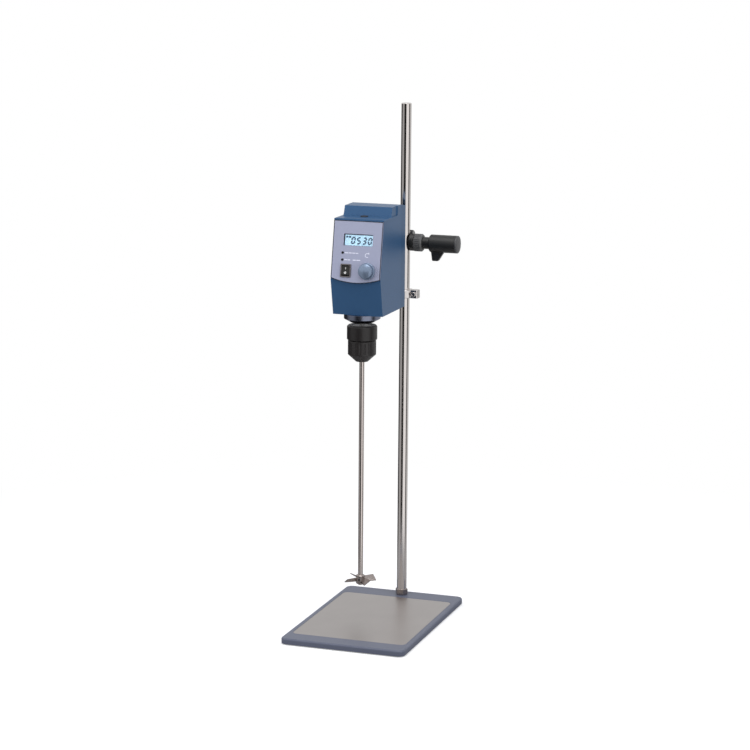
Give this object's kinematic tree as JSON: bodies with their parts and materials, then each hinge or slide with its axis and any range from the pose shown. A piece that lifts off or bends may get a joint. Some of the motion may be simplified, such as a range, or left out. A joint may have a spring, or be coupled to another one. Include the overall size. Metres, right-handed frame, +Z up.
{
  "type": "overhead stirrer",
  "caption": "Overhead laboratory stirrer: a drive head with display, knob and keyless chuck, clamped on the rod of a plate stand, turning a shaft with a propeller.",
  "frame": {"origin": "on the bench, under the centre of the base plate", "axes": "+Z up along the support rod, +X to the right seen from the display, +Y to the back"},
  "size_m": [0.2, 0.316, 0.8107],
  "materials": {
    "coated_steel": "slate powder coat",
    "brushed_sheet": "brushed",
    "foot_rubber": "matte",
    "zinc_steel": "zinc plated",
    "ground_rod": "ground and polished",
    "nut_steel": "turned",
    "collar_steel": "bright",
    "cast_metal": "fine cast",
    "dark_screw": "black oxide",
    "black_plastic": "satin moulded",
    "cap_plastic": "satin moulded",
    "blue_housing": "satin paint",
    "blue_cover": "satin paint",
    "panel_film": "matte film",
    "clear_window": "clear",
    "display_glow": "backlit",
    "circuit_board": "solder resist",
    "lamp_lens": "tinted",
    "rocker_plastic": "moulded",
    "knob_plastic": "satin",
    "inner_metal": "machined",
    "flange_metal": "black anodised",
    "cone_metal": "satin black",
    "bearing_steel": "ground",
    "motor_case": "black",
    "belt_rubber": "matte",
    "chuck_steel": "hardened",
    "chuck_rear_plastic": "satin",
    "chuck_front_plastic": "satin",
    "shaft_steel": "stainless, polished"
  },
  "bodies": {
    "stand": {"base_plate": "coated_steel", "base_sheet": "brushed_sheet", "base_feet": "foot_rubber", "foot_screws": "zinc_steel", "rod_nut": "nut_steel", "support_rod": "ground_rod"},
    "stop": {"stop_collar": "collar_steel", "stop_collar_screw": "collar_steel"},
    "boss": {"boss_head": "cast_metal", "clamp_bush": "black_plastic", "arm_set_screw": "dark_screw"},
    "clamp_ring": {"clamp_collar": "black_plastic"},
    "handle": {"clamp_handle": "black_plastic", "clamp_screw": "dark_screw", "handle_cap": "cap_plastic"},
    "head": {"front_shell": "blue_housing", "rear_cover": "blue_cover", "rear_cover_screws": "zinc_steel", "front_panel": "panel_film", "display_window": "clear_window", "display_module": "display_glow", "control_board": "circuit_board", "indicator_lamps": "lamp_lens", "switch_frame": "black_plastic", "encoder": "inner_metal", "ledge_plug": "black_plastic", "power_inlet": "black_plastic", "fuse_cap": "black_plastic", "arm_flange": "flange_metal", "arm_flange_screws": "zinc_steel", "extension_arm": "ground_rod", "nose_cone": "cone_metal", "lower_bearing": "bearing_steel", "upper_bearing": "bearing_steel", "motor_bracket": "inner_metal", "motor": "motor_case", "drive_belt": "belt_rubber"},
    "rocker": {"power_rocker": "rocker_plastic"},
    "knob": {"speed_knob": "knob_plastic", "encoder_shaft": "inner_metal"},
    "motor_rotor": {"motor_shaft": "bearing_steel", "drive_pulley": "inner_metal"},
    "drive_spindle": {"spindle": "bearing_steel", "driven_pulley": "inner_metal", "chuck_body": "chuck_steel", "chuck_rear_sleeve": "chuck_rear_plastic"},
    "chuck_grip": {"chuck_front_sleeve": "chuck_front_plastic"},
    "jaw_1": {"chuck_jaw_1": "chuck_steel"},
    "jaw_2": {"chuck_jaw_2": "chuck_steel"},
    "jaw_3": {"chuck_jaw_3": "chuck_steel"},
    "stirrer": {"stirring_shaft": "shaft_steel", "propeller": "shaft_steel", "propeller_screw": "zinc_steel"}
  },
  "joints": [
    {"name": "stop_slide", "type": "slide", "parent": "stand", "child": "stop", "axis": [0, 0, 1], "range_m": [-0.4, 0.05]},
    {"name": "clamp_height", "type": "slide", "parent": "stand", "child": "boss", "axis": [0, 0, 1], "range_m": [-0.03, 0.19]},
    {"name": "clamp_advance", "type": "slide", "parent": "boss", "child": "clamp_ring", "axis": [1, 0, 0], "range_m": [0, 0.0025]},
    {"name": "clamp_turn", "type": "hinge", "parent": "clamp_ring", "child": "handle", "pos_m": [0, 0.138, 0.5905], "axis": [1, 0, 0], "range_deg": [0, 720]},
    {"name": "arm_reach", "type": "slide", "parent": "boss", "child": "head", "axis": [0, 1, 0], "range_m": [-0.02, 0.015]},
    {"name": "power_switch", "type": "hinge", "parent": "head", "child": "rocker", "pos_m": [-0.0412, -0.02673, 0.56517], "axis": [1, 0, 0], "range_deg": [0, 20]},
    {"name": "speed_turn", "type": "hinge", "parent": "head", "child": "knob", "pos_m": [-0.0067, -0.02813, 0.56583], "axis": [0, -0.984, 0.1779], "continuous": true},
    {"name": "spindle_spin", "type": "hinge", "parent": "head", "child": "drive_spindle", "pos_m": [-0.025, 0.004, 0.5], "axis": [0, 0, 1], "continuous": true},
    {"name": "motor_spin", "type": "hinge", "parent": "head", "child": "motor_rotor", "pos_m": [-0.025, 0.048, 0.52], "axis": [0, 0, 1], "continuous": true},
    {"name": "chuck_turn", "type": "hinge", "parent": "drive_spindle", "child": "chuck_grip", "pos_m": [-0.025, 0.004, 0.44], "axis": [0, 0, 1], "range_deg": [0, 690]},
    {"name": "jaw_1_slide", "type": "slide", "parent": "drive_spindle", "child": "jaw_1", "axis": [0, 0.1736, 0.9848], "range_m": [0, 0.0058]},
    {"name": "jaw_2_slide", "type": "slide", "parent": "drive_spindle", "child": "jaw_2", "axis": [-0.1504, -0.0868, 0.9848], "range_m": [0, 0.0058]},
    {"name": "jaw_3_slide", "type": "slide", "parent": "drive_spindle", "child": "jaw_3", "axis": [0.1504, -0.0868, 0.9848], "range_m": [0, 0.0058]},
    {"name": "stirrer_slide", "type": "slide", "parent": "drive_spindle", "child": "stirrer", "axis": [0, 0, 1], "range_m": [-0.015, 0.002]}
  ],
  "couplings": [
    {"joint": "clamp_turn", "follows": "clamp_advance", "rad_per_m": 5026.5},
    {"joint": "motor_spin", "follows": "spindle_spin", "ratio": 2},
    {"joint": "jaw_1_slide", "follows": "chuck_turn", "m_per_rad": 0.00047746},
    {"joint": "jaw_2_slide", "follows": "chuck_turn", "m_per_rad": 0.00047746},
    {"joint": "jaw_3_slide", "follows": "chuck_turn", "m_per_rad": 0.00047746}
  ]
}
